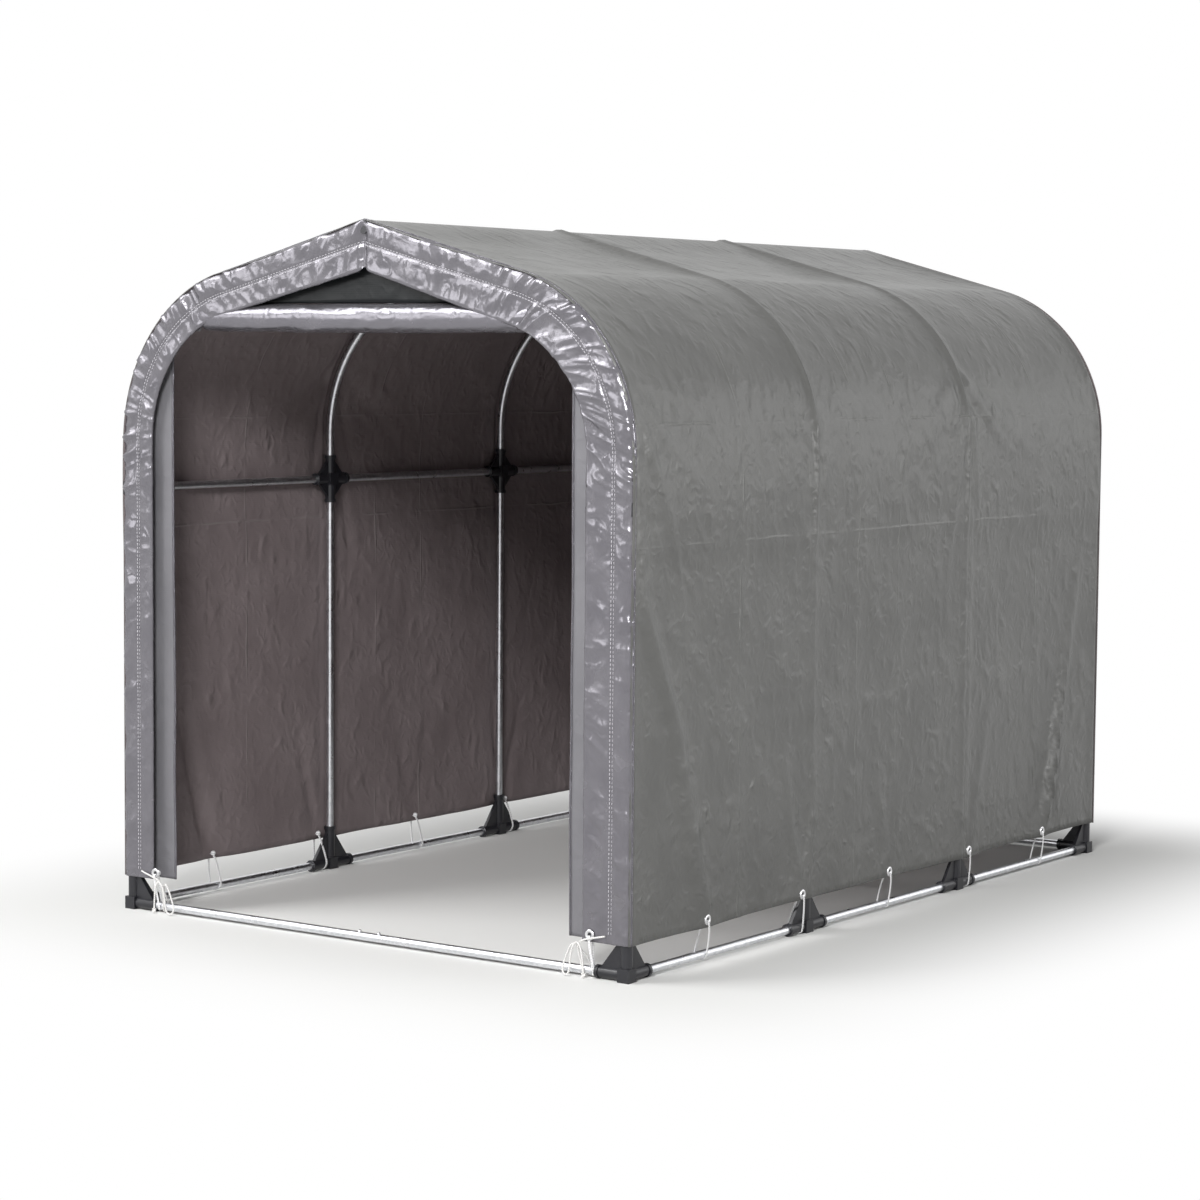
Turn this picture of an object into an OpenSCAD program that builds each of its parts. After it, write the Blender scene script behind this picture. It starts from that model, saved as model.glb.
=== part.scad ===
// Bicycle shelter: a hooped steel pipe frame in moulded joints, under a fitted sheet cover.
// Millimetres. X runs across the doorway, the front faces -Y, and Z = 0 is the ground.

/* [Frame] */
// Distance between the axes of the left and right legs
frame_w = 1440; // [1300:10:1700]
// Distance between neighbouring hoops
bay_l = 725; // [600:5:900]
// Height of the rails half way up the walls
mid_rail_h = 1010; // [800:5:1200]
// Height from those rails to the start of the shoulder bend
shoulder_rise = 115; // [90:5:250]
// Radius of the shoulder bend, to the axis of the pipe
bend_r = 385; // [300:5:450]
// Slope of the roof in degrees
roof_pitch = 15; // [10:1:22]

/* [Pipes] */
// Outside diameter of every pipe
pipe_d = 19; // [16:0.5:22]
// Wall thickness of every pipe
pipe_wall = 1; // [0.6:0.1:2]
// Length of the swaged spigot that joins the two halves of a sill
spigot_l = 50; // [30:5:90]
// Wall of the swaged spigot
spigot_wall = 0.9; // [0.6:0.1:1.5]

/* [Joints] */
// Wall of a socket round its pipe
socket_wall = 3; // [2.5:0.1:5]
// Extra radius of the collar at the mouth of a socket
collar_rim = 2.2; // [2.2:0.1:4]
// Length of that collar
collar_l = 8; // [5:1:12]
// Depth of solid resin between the middle of a joint and the end of a pipe
seat = 17; // [16:0.5:24]
// Reach of the level sockets of the joints on the ground
base_arm = 77; // [60:1:100]
// Reach of the upright sockets of the joints on the ground
base_arm_up = 95; // [70:1:110]
// Reach of the sockets half way up the walls
mid_arm = 60; // [50:1:80]
// Reach of the sockets at the ridge
ridge_arm = 62; // [50:1:90]
// Thickness of the stiffening webs between sockets
web_t = 8; // [4:0.5:12]

/* [Cover] */
// Thickness of the cover sheet
sheet_t = 1.5; // [0.8:0.1:2.5]
// Height of the lower edge of the cover
hem_h = 80; // [60:1:110]
// Width of the gathered band round the doorway
fascia_w = 110; // [90:1:140]
// Width of the strip of the front panel on each side of the doorway
strip_w = 127; // [115:1:160]
// Diameter of the rolled-up door
roll_d = 64; // [40:1:90]
// Depth of the middle of the rolled-up door below the ridge
roll_drop = 201; // [180:1:230]

/* [Ties] */
// Distance from the middle of a side wall to its first and last ties
end_tie_y = 800; // [600:5:960]
// Distance from the middle of a tee on the ground to the tie beside it
tee_tie_in = 38; // [32:1:50]
// Height of an eyelet above the lower edge of the cover
eyelet_rise = 15; // [12:1:25]
// Radius of an eyelet
eyelet_r = 6; // [5:0.5:9]
// Width of a tie's elastic loop
tie_w = 8; // [5:0.5:9]
// Thickness of that loop
tie_t = 1.6; // [1:0.1:1.8]
// Diameter of the drawcord
cord_d = 4; // [3:0.5:5]

/* [Hidden] */
$fn = 64;
fit_gap = 0.3;          // clearance between pieces that seat on one another
tie_gap = 0.4;          // clearance of a tie round its pipe
core_lap = 0.3;         // depth by which a socket starts inside the core of its joint
cut_over = 1;           // overshoot of a cutting solid past the face that it opens
crimp_l = 6;            // length of the pressed ring at each end of a bend
crimp_rise = 0.3;       // height of that ring
crimp_gap = 0.5;        // space inside the ring between the bend and the straight length
panel_neck = 15;        // width of the front panel beside each end of the rolled door
arc_steps = 16;         // flats that follow the bend in the outline of a sheet
hoop_count = 4;

pipe_r = pipe_d / 2;
bore_r = pipe_r + fit_gap;
socket_r = bore_r + socket_wall;
collar_r = socket_r + collar_rim;
base_z = collar_r;      // the core of a ground joint is as deep as its collar is round
half_w = frame_w / 2;
eaves_h = mid_rail_h + shoulder_rise;
shoulder_x = half_w - bend_r;
bend_turn = 90 - roof_pitch;
front_y = -bay_l * (hoop_count - 1) / 2;
back_y = -front_y;
ridge_z = arch_ridge(0);

// Distances from the axes of the outer pipes to the faces of the sheets, outwards
lining = collar_r + fit_gap;
skin = lining + sheet_t;
fascia_in = skin - fascia_w;
panel_off = -(socket_r + fit_gap);

eyelet_h = hem_h + eyelet_rise;
door_edge_x = half_w + panel_off - strip_w;
roll_r = roll_d / 2;
roll_h = ridge_z - roll_drop;
roll_y = front_y - lining + fit_gap + roll_r;
door_top = roll_h + roll_r + fit_gap;
roll_half = outline_x(panel_off, door_top) - panel_neck;
doorway_h = roll_h - roll_r - fit_gap;
doorway_top_x = min(door_edge_x, outline_x(panel_off - panel_neck, doorway_h));
doorway_half = [[door_edge_x, 0], [door_edge_x, eaves_h], [doorway_top_x, doorway_h]];
corner_tie_in = base_arm + tie_w / 2 + 5;
back_tie_x = frame_w / 3;

// Route of a drawcord from its eyelet, as [inward from the leg, forward of the sill, height]
drawcord_route = [
    [44, 19, 97], [62, 23, 93], [85, 26, 88], [105, 25, 80], [112, 23, 66], [111, 18, 45],
    [109, 14, 26], [107, 12, 14], [106, 7, 5], [105, 0, 3], [104, -7, 5], [103, -12, 15],
    [102, -9, 27], [104, 2, 45], [111, 14, 61], [121, 21, 73], [131, 24, 68], [142, 24, 46],
    [150, 24, 24], [151, 25, 12], [143, 27, 4], [133, 29, 10], [129, 30, 28], [126, 30, 52],
    [120, 31, 70], [110, 31, 79], [100, 31, 68], [96, 30, 45], [94, 29, 26], [93, 29, 14]];
cord_knot_r = 4;
cord_sides = 8;
cord_steps = 2;         // rings for each stretch of the route

// Turns that point the +Z axis along each direction of the frame
UP = [0, 0, 0];
DOWN = [180, 0, 0];
TO_RIGHT = [0, 90, 0];
TO_LEFT = [0, -90, 0];
TO_BACK = [-90, 0, 0];
TO_FRONT = [90, 0, 0];

// Height of the ridge of the hoop outline when it is grown by off
function arch_ridge(off) =
    eaves_h + (bend_r + off) * cos(roof_pitch) + bend_end_x(off) * tan(roof_pitch);
// Where the shoulder bend ends and the straight slope of the roof begins
function bend_end_x(off) = shoulder_x + (bend_r + off) * sin(roof_pitch);
function bend_end_z(off) = eaves_h + (bend_r + off) * cos(roof_pitch);
// Half width of the grown outline at a height
function outline_x(off, z) =
    z <= eaves_h ? half_w + off :
    z >= bend_end_z(off) ? (arch_ridge(off) - z) / tan(roof_pitch) :
    shoulder_x + sqrt(pow(bend_r + off, 2) - pow(z - eaves_h, 2));
function hoop_y(i) = front_y + i * bay_l;
function unit(v) = v / norm(v);

// Pipes

module tube(l) {
    difference() {
        cylinder(h = l, r = pipe_r);
        translate([0, 0, -cut_over]) cylinder(h = l + 2 * cut_over, r = pipe_r - pipe_wall);
    }
}

module on_both_sides() {
    children();
    mirror([1, 0, 0]) children();
}

// Two straight legs, from the ground joints to the joints half way up
module legs(i) {
    color("gainsboro") on_both_sides()
        translate([half_w, hoop_y(i), base_z + seat]) tube(mid_rail_h - base_z - 2 * seat);
}

// Two bent pipes, from the joints half way up, round the shoulders, to the ridge
module bows(i) {
    slope_l = bend_end_x(0) / cos(roof_pitch) - seat - crimp_gap;
    color("gainsboro") on_both_sides() translate([0, hoop_y(i), 0]) {
        translate([half_w, 0, mid_rail_h + seat]) tube(shoulder_rise - seat - crimp_gap);
        translate([half_w, 0, eaves_h]) crimp();
        translate([shoulder_x, 0, eaves_h]) rotate([90, 0, 0]) rotate_extrude(angle = bend_turn)
            translate([bend_r, 0]) difference() {
                circle(r = pipe_r);
                circle(r = pipe_r - pipe_wall);
            }
        translate([bend_end_x(0), 0, bend_end_z(0)]) rotate([0, -bend_turn, 0]) {
            crimp();
            translate([0, 0, crimp_gap]) tube(slope_l);
        }
    }
}

// Low pressed ring where a straight length of a bow runs into its bend
module crimp() {
    translate([0, 0, -crimp_l / 2]) difference() {
        cylinder(h = crimp_l, r = pipe_r + crimp_rise);
        translate([0, 0, -cut_over])
            cylinder(h = crimp_l + 2 * cut_over, r = pipe_r - pipe_wall - crimp_rise);
    }
}

// One pipe for each bay, along Y
module rails(x, z) {
    color("gainsboro") for (i = [0 : hoop_count - 2])
        translate([x, hoop_y(i) + seat, z]) rotate(TO_BACK) tube(bay_l - 2 * seat);
}

// Half of a sill, from a corner joint to the middle
module sill_half(side, y) {
    color("gainsboro") translate([side * (half_w - seat), y, base_z])
        rotate(side > 0 ? TO_LEFT : TO_RIGHT) tube(half_w - seat);
}

// The half whose swaged end slides into the other half
module sill_half_with_spigot(side, y) {
    spigot_r = pipe_r - pipe_wall - fit_gap;
    color("gainsboro") translate([side * (half_w - seat), y, base_z])
        rotate(side > 0 ? TO_LEFT : TO_RIGHT) difference() {
            union() {
                cylinder(h = half_w - seat, r = pipe_r);
                cylinder(h = half_w - seat + spigot_l, r = spigot_r);
            }
            translate([0, 0, -cut_over]) cylinder(h = half_w, r = spigot_r - spigot_wall);
            translate([0, 0, half_w / 2])
                cylinder(h = half_w + spigot_l, r = spigot_r - spigot_wall);
        }
}

// Moulded joints

// One web, in the plane of two sockets that lie along its local X and Y
module web(reach_x, reach_y) {
    foot = socket_r / 2;
    linear_extrude(web_t, center = true) polygon([
        [0, 0], [reach_x - collar_l, 0], [reach_x - collar_l, foot],
        [foot, reach_y - collar_l], [0, reach_y - collar_l]]);
}

module web_up_back(reach_level, reach_up) {
    rotate([90, 0, 90]) web(reach_level, reach_up);
}

module web_up_right(reach_level, reach_up) {
    rotate([90, 0, 0]) web(reach_level, reach_up);
}

// A socket along +Z from start to its reach, with a collar at its mouth
module socket(start, reach) {
    translate([0, 0, start]) cylinder(h = reach - start, r = socket_r);
    translate([0, 0, reach - collar_l]) cylinder(h = collar_l, r = collar_r);
}

// A joint with a square core: arms holds [turn, reach] for each socket, and children are its webs
module joint(arms) {
    color("#26262a") difference() {
        union() {
            cube(2 * collar_r, center = true);
            for (a = arms) rotate(a[0]) socket(collar_r - core_lap, a[1]);
            children();
        }
        for (a = arms) rotate(a[0]) translate([0, 0, seat]) cylinder(h = a[1], r = bore_r);
    }
}

// Corner of the ground frame; side is 1 on the right, and end is 1 at the back
module corner_joint(side, end) {
    translate([side * half_w, end * back_y, base_z])
        mirror([side > 0 ? 1 : 0, 0, 0]) mirror([0, end > 0 ? 1 : 0, 0])
        joint([[UP, base_arm_up], [TO_RIGHT, base_arm], [TO_BACK, base_arm]]) {
            web_up_right(base_arm, base_arm_up);
            web_up_back(base_arm, base_arm_up);
        }
}

module base_tees(side) {
    for (i = [1 : hoop_count - 2]) translate([side * half_w, hoop_y(i), base_z])
        joint([[UP, base_arm_up], [TO_BACK, base_arm], [TO_FRONT, base_arm]]) {
            web_up_back(base_arm, base_arm_up);
            mirror([0, 1, 0]) web_up_back(base_arm, base_arm_up);
        }
}

// Joints half way up the front or the back hoop; end is 1 at the back
module mid_tees(end) {
    on_both_sides() translate([half_w, end * back_y, mid_rail_h])
        mirror([0, end > 0 ? 1 : 0, 0])
        joint([[UP, mid_arm], [DOWN, mid_arm], [TO_BACK, mid_arm]]) {
            web_up_back(mid_arm, mid_arm);
            mirror([0, 0, 1]) web_up_back(mid_arm, mid_arm);
        }
}

module mid_crosses(side) {
    for (i = [1 : hoop_count - 2]) translate([side * half_w, hoop_y(i), mid_rail_h])
        joint([[UP, mid_arm], [DOWN, mid_arm], [TO_BACK, mid_arm], [TO_FRONT, mid_arm]])
            for (v = [0, 1]) mirror([0, 0, v]) {
                web_up_back(mid_arm, mid_arm);
                mirror([0, 1, 0]) web_up_back(mid_arm, mid_arm);
            }
}

// Joint at the ridge: two sloping sockets on a round core, and one or two along the ridge
module ridge_joint(ridge_turns) {
    slopes = [[0, 90 + roof_pitch, 0], [0, -90 - roof_pitch, 0]];
    slope_start = socket_r * tan(roof_pitch) + core_lap;
    color("#26262a") difference() {
        union() {
            rotate([90, 0, 0]) cylinder(h = 2 * collar_r, r = collar_r, center = true);
            for (turn = slopes) rotate(turn) socket(slope_start, ridge_arm);
            for (turn = ridge_turns) rotate(turn) {
                socket(collar_r - core_lap, ridge_arm);
                for (s = [0, 1]) mirror([s, 0, 0]) ridge_web(turn == TO_BACK ? 1 : -1);
            }
        }
        for (turn = concat(slopes, ridge_turns)) rotate(turn)
            translate([0, 0, seat]) cylinder(h = ridge_arm, r = bore_r);
    }
}

module ridge_end_joints() {
    translate([0, front_y, ridge_z]) ridge_joint([TO_BACK]);
    translate([0, back_y, ridge_z]) ridge_joint([TO_FRONT]);
}

module ridge_cross_joints() {
    for (i = [1 : hoop_count - 2])
        translate([0, hoop_y(i), ridge_z]) ridge_joint([TO_BACK, TO_FRONT]);
}

// A web between a sloping socket and the ridge socket that lies along +Z; fall is the side of down
module ridge_web(fall) {
    rotate([0, 0, fall * roof_pitch]) rotate([90, 0, 0]) web(ridge_arm, ridge_arm);
}

// Cover

// Right half of the hoop outline, grown by off, from the lower edge of the cover to the ridge
function half_outline(off) = concat(
    [[half_w + off, hem_h]],
    [for (k = [0 : arc_steps]) let (a = bend_turn * k / arc_steps)
        [shoulder_x + (bend_r + off) * cos(a), eaves_h + (bend_r + off) * sin(a)]],
    [[0, arch_ridge(off)]]);
function reversed(list) = [for (i = [len(list) - 1 : -1 : 0]) list[i]];
// The whole outline, from the foot of the right wall over the ridge to the foot of the left wall
function outline(off) = let (right = half_outline(off))
    concat(right, [for (i = [len(right) - 2 : -1 : 0]) [-right[i][0], right[i][1]]]);

// Carries an outline in X and Z from y0 to y1
module from_to(y0, y1) {
    translate([0, y1, 0]) rotate([90, 0, 0]) linear_extrude(y1 - y0) children();
}

// A wall that follows the hoop outline, between two distances from the pipe axes
module arch_band(off_in, off_out, y0, y1) {
    from_to(y0, y1) polygon(concat(outline(off_out), reversed(outline(off_in))));
}

// A sheet that fills the hoop outline
module arch_plate(off, y0, y1) {
    from_to(y0, y1) polygon(outline(off));
}

tee_tie_y = hoop_y(2) + tee_tie_in;

// Eyelets of one side wall at the heights of its ties
module side_eyelets() {
    for (y = [-end_tie_y, -tee_tie_y, 0, tee_tie_y, end_tie_y]) translate([0, y, eyelet_h])
        rotate(TO_RIGHT) cylinder(h = 4 * half_w, r = eyelet_r, center = true);
}

// Roof and both side walls, in one sheet
module main_cover() {
    color("#6f706c") difference() {
        arch_band(lining, skin, front_y - lining, back_y + lining);
        side_eyelets();
    }
}

// Gathered band that hides the front hoop
module front_fascia() {
    color("#8b8889") difference() {
        arch_band(fascia_in, skin, front_y - skin, front_y - lining);
        for (side = [-1, 1]) translate([side * (half_w - corner_tie_in), front_y, eyelet_h])
            rotate(TO_FRONT) cylinder(h = 2 * skin, r = eyelet_r);
    }
}

// Front sheet behind the front hoop: a gable, and a strip that stays on each side of the doorway
module front_panel() {
    color("#5e5e60") difference() {
        arch_plate(panel_off, front_y + lining, front_y + skin);
        from_to(front_y, front_y + 2 * skin) polygon(concat(
            doorway_half, [for (p = reversed(doorway_half)) [-p[0], p[1]]]));
        translate([-roll_half - fit_gap, front_y, 0])
            cube([2 * (roll_half + fit_gap), 2 * skin, door_top]);
    }
}

module back_panel() {
    color("#6a6b68") difference() {
        arch_plate(skin, back_y + lining, back_y + skin);
        for (x = [-back_tie_x, 0, back_tie_x]) translate([x, back_y, eyelet_h])
            rotate(TO_BACK) cylinder(h = 2 * skin, r = eyelet_r);
    }
}

module rolled_door() {
    color("#9a989c") translate([0, roll_y, roll_h]) rotate(TO_RIGHT)
        cylinder(h = 2 * roll_half, r = roll_r, center = true);
}

// Ties

// Elastic loop round something of radius r that lies along Y at the origin, up through an eyelet
// in a sheet on its +X side
module tie(r) {
    loop_in = r + tie_gap;
    loop_out = loop_in + tie_t;
    near = lining - fit_gap;
    far = skin + fit_gap;
    rise = eyelet_h - base_z;
    hem = hem_h - base_z - fit_gap;
    under = [for (k = [0 : arc_steps]) let (a = 180 + 180 * k / arc_steps) [cos(a), sin(a)]];
    color("gainsboro") rotate([90, 0, 0]) linear_extrude(tie_w, center = true) difference() {
        polygon(concat(loop_out * under, [
            [far + tie_t, hem], [far + tie_t, rise + tie_t / 2],
            [near - tie_t, rise + tie_t / 2], [-loop_out, hem]]));
        polygon(concat(loop_in * under, [
            [far, hem], [far, rise - tie_t / 2],
            [near - tie_t, rise - tie_t / 2], [-loop_in, hem - tie_t]]));
    }
}

module side_ties(side) {
    for (y = [-end_tie_y, 0, end_tie_y]) side_tie(side, y, pipe_r);
    for (y = [-tee_tie_y, tee_tie_y]) side_tie(side, y, socket_r);
}

module side_tie(side, y, r) {
    translate([side * half_w, y, base_z]) mirror([side > 0 ? 0 : 1, 0, 0]) tie(r);
}

module front_ties() {
    for (side = [-1, 1]) translate([side * (half_w - corner_tie_in), front_y, base_z])
        rotate([0, 0, -90]) tie(pipe_r);
}

module back_ties() {
    for (x = [-back_tie_x, 0, back_tie_x]) translate([x, back_y, base_z])
        rotate([0, 0, 90]) tie(pipe_r);
}

// Drawcords

function drawcord_point(side, p) = [side * (half_w - p[0]), front_y - p[1], p[2]];

// Catmull-Rom curve through the points of a route, with so many steps for each stretch
function smooth_route(p, steps) = [
    for (i = [0 : len(p) - 2], k = [0 : steps - 1])
        let (a = p[max(i - 1, 0)], b = p[i], c = p[i + 1], d = p[min(i + 2, len(p) - 1)], t = k / steps)
        (2 * b + (c - a) * t + (2 * a - 5 * b + 4 * c - d) * t * t
            + (3 * b - a - 3 * c + d) * t * t * t) / 2,
    p[len(p) - 1]];

function tangents(p) = [for (i = [0 : len(p) - 1])
    unit(p[min(i + 1, len(p) - 1)] - p[max(i - 1, 0)])];

// A direction square to each tangent, carried along the route without twist
function carried(t, side, i = 0) = i == len(t) ? [] :
    let (n = unit(side - (side * t[i]) * t[i])) concat([n], carried(t, n, i + 1));

module cord(route, r, sides) {
    p = smooth_route(route, cord_steps);
    t = tangents(p);
    n = carried(t, [0, 1, 0.1]);
    rings = len(p);
    points = [for (i = [0 : rings - 1], k = [0 : sides - 1])
        let (a = 360 * k / sides) p[i] + r * (cos(a) * n[i] + sin(a) * cross(t[i], n[i]))];
    walls = [for (i = [0 : rings - 2], k = [0 : sides - 1]) let (q = (k + 1) % sides)
        [i * sides + k, (i + 1) * sides + k, (i + 1) * sides + q, i * sides + q]];
    first = [for (k = [0 : sides - 1]) k];
    last = [for (k = [sides - 1 : -1 : 0]) (rings - 1) * sides + k];
    polyhedron(points, concat(walls, [first, last]));
}

module drawcord(side) {
    color("whitesmoke") cord([for (p = drawcord_route) drawcord_point(side, p)],
        cord_d / 2, cord_sides);
}

// Knot that closes the free end of each drawcord
module drawcord_knots() {
    tail = drawcord_route[len(drawcord_route) - 1];
    for (side = [-1, 1])
        color("whitesmoke") translate(drawcord_point(side, tail - [0, 0, cord_knot_r + fit_gap]))
            sphere(r = cord_knot_r);
}

legs(0);  // front_hoop_legs
legs(1);  // second_hoop_legs
legs(2);  // third_hoop_legs
legs(3);  // back_hoop_legs
bows(0);  // front_hoop_bows
bows(1);  // second_hoop_bows
bows(2);  // third_hoop_bows
bows(3);  // back_hoop_bows
rails(-half_w, base_z);  // left_base_rails
rails(half_w, base_z);  // right_base_rails
rails(-half_w, mid_rail_h);  // left_mid_rails
rails(half_w, mid_rail_h);  // right_mid_rails
rails(0, ridge_z);  // ridge_rails
sill_half_with_spigot(-1, front_y);  // front_sill_left
sill_half(1, front_y);  // front_sill_right
sill_half_with_spigot(-1, back_y);  // back_sill_left
sill_half(1, back_y);  // back_sill_right
corner_joint(-1, -1);  // front_left_corner_joint
corner_joint(1, -1);  // front_right_corner_joint
corner_joint(-1, 1);  // back_left_corner_joint
corner_joint(1, 1);  // back_right_corner_joint
base_tees(-1);  // left_base_tees
base_tees(1);  // right_base_tees
mid_tees(-1);  // front_mid_tees
mid_tees(1);  // back_mid_tees
mid_crosses(-1);  // left_mid_crosses
mid_crosses(1);  // right_mid_crosses
ridge_end_joints();
ridge_cross_joints();
main_cover();
front_fascia();
front_panel();
rolled_door();
back_panel();
side_ties(-1);  // left_ties
side_ties(1);  // right_ties
front_ties();
back_ties();
drawcord(-1);  // left_drawcord
drawcord(1);  // right_drawcord
drawcord_knots();
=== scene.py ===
# %% [markdown]
# # A bicycle shelter: bent pipes under a fitted sheet
# The CAD frame gives every pipe, joint and sheet its place and size. This lesson dresses it: the
# hard pieces keep their CAD shape and get a finish, and each soft piece is drawn again as a surface
# worked out with numpy, because a sheet shows sags, folds and gathers that a plain solid can't have.
# Everything is in metres, with +Z up and the doorway facing -Y.

# %% Load the frame
import math

import bpy
import numpy as np
from mathutils import Matrix, Vector


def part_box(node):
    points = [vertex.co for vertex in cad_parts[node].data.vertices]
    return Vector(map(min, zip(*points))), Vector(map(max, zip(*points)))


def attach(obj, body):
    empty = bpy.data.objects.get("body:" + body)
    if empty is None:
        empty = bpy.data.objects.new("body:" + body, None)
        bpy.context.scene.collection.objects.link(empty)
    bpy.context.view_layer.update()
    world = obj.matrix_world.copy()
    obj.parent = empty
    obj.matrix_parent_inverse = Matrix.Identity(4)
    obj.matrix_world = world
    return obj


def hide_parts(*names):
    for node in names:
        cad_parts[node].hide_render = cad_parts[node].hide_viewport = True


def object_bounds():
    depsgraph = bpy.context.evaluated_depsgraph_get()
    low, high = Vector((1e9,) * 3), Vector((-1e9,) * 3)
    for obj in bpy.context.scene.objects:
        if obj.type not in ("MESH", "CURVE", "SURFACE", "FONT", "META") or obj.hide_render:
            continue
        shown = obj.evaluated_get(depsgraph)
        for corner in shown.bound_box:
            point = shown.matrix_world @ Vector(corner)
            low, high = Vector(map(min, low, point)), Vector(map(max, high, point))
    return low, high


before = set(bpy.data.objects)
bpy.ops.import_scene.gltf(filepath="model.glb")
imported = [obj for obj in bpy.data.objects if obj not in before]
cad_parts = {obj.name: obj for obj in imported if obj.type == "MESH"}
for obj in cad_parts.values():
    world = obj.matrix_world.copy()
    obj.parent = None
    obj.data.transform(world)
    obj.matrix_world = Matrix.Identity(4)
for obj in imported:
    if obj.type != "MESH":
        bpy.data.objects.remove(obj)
cad_low, cad_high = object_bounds()
MM = 0.001
print("frame:", len(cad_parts), "nodes, from", tuple(cad_low), "to", tuple(cad_high))

# %% [markdown]
# ## Camera
# The picture was taken from the right of the doorway, a little above half height, with a long lens.
# Azimuth, pitch and roll are turned into three axes by hand, because a camera looks along its own
# -Z with +Y up, and a matrix of right, up and backward says that without any guessing.

# %% Place the camera
CAMERA_AT = Vector((4.4125, -6.4303, 1.3441))
AZIMUTH, PITCH, ROLL = (math.radians(a) for a in (35.209, 4.630, 0.464))
forward = Vector((-math.sin(AZIMUTH) * math.cos(PITCH), math.cos(AZIMUTH) * math.cos(PITCH),
                  -math.sin(PITCH)))
right = forward.cross(Vector((0, 0, 1))).normalized()
level = Matrix((right, right.cross(forward), -forward)).transposed()
lens = bpy.data.cameras.new("long_lens")
lens.sensor_width = 36
lens.lens = 92.535
camera = bpy.data.objects.new("camera", lens)
bpy.context.scene.collection.objects.link(camera)
camera.matrix_world = Matrix.Translation(CAMERA_AT) @ (level @ Matrix.Rotation(ROLL, 3, "Z")).to_4x4()
bpy.context.scene.camera = camera
print("camera:", lens.lens, "mm lens at", tuple(CAMERA_AT))

# %% [markdown]
# ## Surfaces from arrays
# Every new piece is a grid of points: one array of shape (rows, columns, 3). The helper below turns
# such an array into a mesh of quads. A grid can wrap round in its columns, as a tube does, or in its
# rows too, as a ring does, and the ends of a tube are closed by one flat face each.


# %% Grid to mesh
def surface(name, points, uv, wrap=(False, False), caps=False, flip=False):
    """Quads between neighbours of a grid of points; wrap joins the last row or column to the first."""
    rows, columns = points.shape[:2]
    index = np.arange(rows * columns).reshape(rows, columns)
    if wrap[0]:
        index = np.vstack([index, index[:1]])
    if wrap[1]:
        index = np.hstack([index, index[:, :1]])
    quads = np.stack([index[:-1, :-1], index[1:, :-1], index[1:, 1:], index[:-1, 1:]], axis=-1)
    quads = quads.reshape(-1, 4)
    faces = (quads[:, ::-1] if flip else quads).tolist()
    if caps:
        ends = [np.arange(columns), (rows - 1) * columns + np.arange(columns)[::-1]]
        faces += [(end[::-1] if flip else end).tolist() for end in ends]
    mesh = bpy.data.meshes.new(name)
    mesh.from_pydata(points.reshape(-1, 3), [], faces)
    corners = np.zeros(len(mesh.loops), np.int32)
    mesh.loops.foreach_get("vertex_index", corners)
    corner_uv = uv.reshape(-1, 2)[corners].astype(np.float32)
    mesh.uv_layers.new(name="cut").uv.foreach_set("vector", corner_uv.ravel())
    mesh.shade_smooth()
    piece = bpy.data.objects.new(name, mesh)
    bpy.context.scene.collection.objects.link(piece)
    return piece


def fit(piece, slot, material, *nodes):
    """The piece rides on the frame, takes its finish and stands for these CAD nodes."""
    piece.data.materials.append(material)
    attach(piece, "root")
    if nodes:
        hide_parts(*nodes)
    print(f"{piece.name}: {len(piece.data.polygons)} faces")
    return piece


# %% Paths and tubes
def smooth(points, steps):
    """Catmull-Rom curve through the points: each stretch is the cubic that its two neighbours bend."""
    p = np.asarray(points, float)
    p = np.vstack([p[:1], p, p[-1:]])
    a, b, c, d = p[:-3], p[1:-2], p[2:-1], p[3:]
    t = (np.arange(steps) / steps)[None, :, None]
    a, b, c, d = (q[:, None, :] for q in (a, b, c, d))
    curve = (2 * b + (c - a) * t + (2 * a - 5 * b + 4 * c - d) * t**2 + (3 * b - a - 3 * c + d) * t**3) / 2
    return np.vstack([curve.reshape(-1, 3), p[-1:]])


def unit(v):
    """Vectors divided by their own length."""
    return v / np.linalg.norm(v, axis=-1, keepdims=True)


def length_along(path):
    """Distance from the start of a path to each of its points."""
    return np.concatenate([[0], np.cumsum(np.linalg.norm(np.diff(path, axis=0), axis=1))])


def tube_points(path, radius, sides, closed=False):
    """Rings round a path: path + radius * (cos a * n + sin a * t x n), with n carried along untwisted."""
    before, after = (np.roll(path, 1, 0), np.roll(path, -1, 0)) if closed else (
        np.vstack([path[:1], path[:-1]]), np.vstack([path[1:], path[-1:]]))
    t = unit(after - before)
    n = np.zeros_like(t)
    n[0] = unit(np.cross(t[0], (0.3, 0.2, 1.0)))
    for i in range(1, len(t)):
        n[i] = unit(n[i - 1] - (n[i - 1] @ t[i]) * t[i])
    a = np.linspace(0, 2 * np.pi, sides, endpoint=False)
    ring = np.cos(a)[None, :, None] * n[:, None] + np.sin(a)[None, :, None] * np.cross(t, n)[:, None]
    uv = np.stack(np.meshgrid(length_along(path), a / (2 * np.pi), indexing="ij"), axis=-1)
    return path[:, None] + np.broadcast_to(radius, (len(path),))[:, None, None] * ring, uv


def join(name, pieces):
    """Several meshes as one piece."""
    with bpy.context.temp_override(active_object=pieces[0], selected_editable_objects=pieces):
        bpy.ops.object.join()
    pieces[0].name = name
    return pieces[0]


# %% [markdown]
# ## Colours and nodes
# Colours are written as sRGB hex values, as a colour picker shows them, and one function turns them
# into the linear values that a shader works with. One more function adds a node and its links.


# %% Colour and node helpers
def linear(colour):
    """sRGB hex to linear RGBA: c / 12.92 near black, else ((c + 0.055) / 1.055) ** 2.4."""
    c = np.array([int(colour[i:i + 2], 16) for i in (1, 3, 5)]) / 255
    return (*np.where(c <= 0.04045, c / 12.92, ((c + 0.055) / 1.055) ** 2.4).tolist(), 1.0)


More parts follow.
